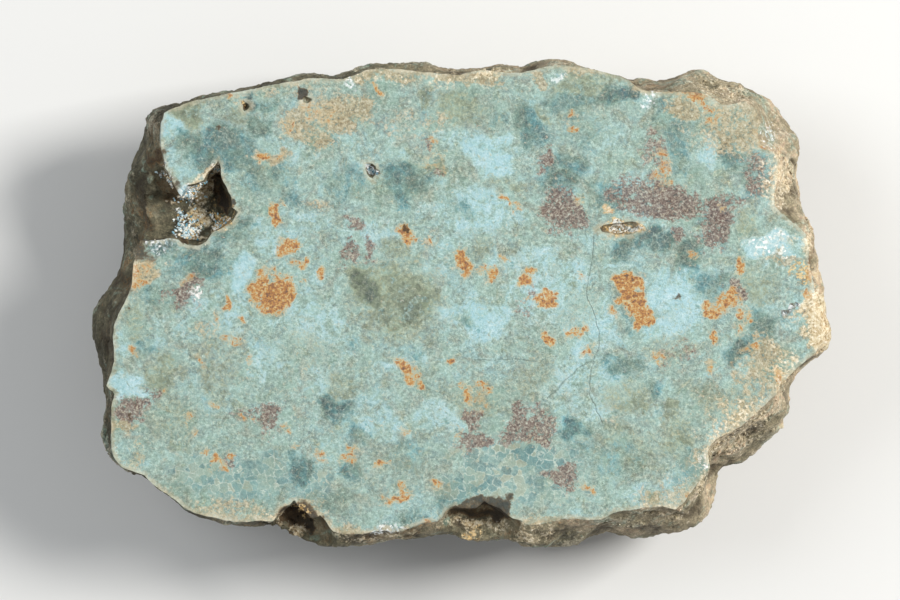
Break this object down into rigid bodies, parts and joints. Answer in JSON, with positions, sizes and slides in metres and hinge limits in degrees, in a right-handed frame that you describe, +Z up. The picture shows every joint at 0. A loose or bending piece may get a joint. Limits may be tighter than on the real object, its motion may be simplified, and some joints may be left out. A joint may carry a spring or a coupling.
{
  "type": "chrysoprase specimen",
  "caption": "Rough blue-green chrysoprase stone with a flat sawn face, broken rind, rust stains and a crystal-lined hollow; lies on a small flat spot of its back.",
  "frame": {"origin": "under the middle of the stone's bounding box, on the plane that it rests on", "axes": "+X along the stone's longest side, +Y across it, +Z up out of the sawn face"},
  "size_m": [0.1114, 0.0736, 0.028],
  "materials": {
    "chrysoprase": "lightly polished sawn face, rough iron-stained rind"
  },
  "bodies": {
    "root": {"chrysoprase": "chrysoprase"}
  },
  "joints": []
}
